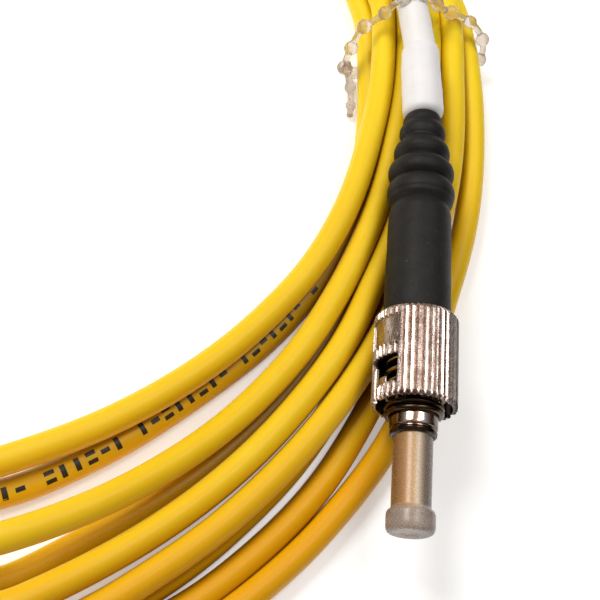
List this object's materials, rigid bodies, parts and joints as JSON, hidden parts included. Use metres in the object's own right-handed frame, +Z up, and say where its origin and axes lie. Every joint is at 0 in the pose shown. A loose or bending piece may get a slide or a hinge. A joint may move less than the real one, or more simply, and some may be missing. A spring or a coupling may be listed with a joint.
{
  "type": "fiber optic patch cord",
  "caption": "Coiled simplex fibre patch cord, yellow jacket, with a bayonet coupling connector, ribbed boot and slip-on dust cap at each end, held by beaded ties.",
  "frame": {"origin": "On the surface the cord lies on, midway between the two connectors, under the middle of their length.", "axes": "X from connector b to connector a, Y from the dust caps towards the boots, Z up."},
  "size_m": [0.1072, 0.125, 0.0138],
  "materials": {
    "frosted_cap": "frosted translucent soft plastic",
    "ceramic": "polished white ceramic",
    "chromed_barrel": "bright turned",
    "spring_steel": "dark spring steel",
    "spring_wire": "gold-coloured wire",
    "plated_washer": "plated",
    "plated_nut": "nickel plated, knurled, slightly warm",
    "plated_body": "plated",
    "crimp_metal": "dull crimped",
    "buffer": "smooth",
    "black_boot": "matt moulded",
    "white_sleeve": "soft heat-shrink",
    "white_label": "printed wrap, plain",
    "clear_tie": "cloudy clear nylon",
    "yellow_jacket": "satin smooth"
  },
  "bodies": {
    "cord": {"ferrule_a": "ceramic", "front_barrel_a": "chromed_barrel", "retaining_ring_a": "spring_steel", "spring_a": "spring_wire", "rear_body_a": "plated_body", "crimp_sleeve_a": "crimp_metal", "buffer_tube_a": "buffer", "boot_a": "black_boot", "marker_sleeve_a": "white_sleeve", "label_wrap_a": "white_label", "cable_tie_a": "clear_tie", "tie_head_a": "clear_tie", "ferrule_b": "ceramic", "front_barrel_b": "chromed_barrel", "retaining_ring_b": "spring_steel", "spring_b": "spring_wire", "rear_body_b": "plated_body", "crimp_sleeve_b": "crimp_metal", "buffer_tube_b": "buffer", "boot_b": "black_boot", "marker_sleeve_b": "white_sleeve", "label_wrap_b": "white_label", "cable_tie_b": "clear_tie", "tie_head_b": "clear_tie", "cord_coil": "yellow_jacket", "cord_lead_a": "yellow_jacket", "cord_lead_b": "yellow_jacket"},
    "cap_a": {"dust_cap_a": "frosted_cap"},
    "washer_a": {"thrust_washer_a": "plated_washer"},
    "nut_a": {"coupling_nut_a": "plated_nut"},
    "cap_b": {"dust_cap_b": "frosted_cap"},
    "washer_b": {"thrust_washer_b": "plated_washer"},
    "nut_b": {"coupling_nut_b": "plated_nut"}
  },
  "joints": [
    {"name": "dust_cap_pull_a", "type": "slide", "parent": "cord", "child": "cap_a", "axis": [0, -1, 0], "range_m": [0, 0.012]},
    {"name": "nut_push_a", "type": "slide", "parent": "cord", "child": "washer_a", "axis": [0, -1, 0], "range_m": [0, 0.0022], "stiffness_N_per_m": 1200, "springref_m": -0.001, "deforming": ["spring_a"]},
    {"name": "nut_turn_a", "type": "hinge", "parent": "washer_a", "child": "nut_a", "pos_m": [0.043, -0.02, 0.0093], "axis": [0, -1, 0], "continuous": true},
    {"name": "dust_cap_pull_b", "type": "slide", "parent": "cord", "child": "cap_b", "axis": [0, -1, 0], "range_m": [0, 0.012]},
    {"name": "nut_push_b", "type": "slide", "parent": "cord", "child": "washer_b", "axis": [0, -1, 0], "range_m": [0, 0.0022], "stiffness_N_per_m": 1200, "springref_m": -0.001, "deforming": ["spring_b"]},
    {"name": "nut_turn_b", "type": "hinge", "parent": "washer_b", "child": "nut_b", "pos_m": [-0.043, -0.02, 0.0093], "axis": [0, -1, 0], "continuous": true}
  ]
}
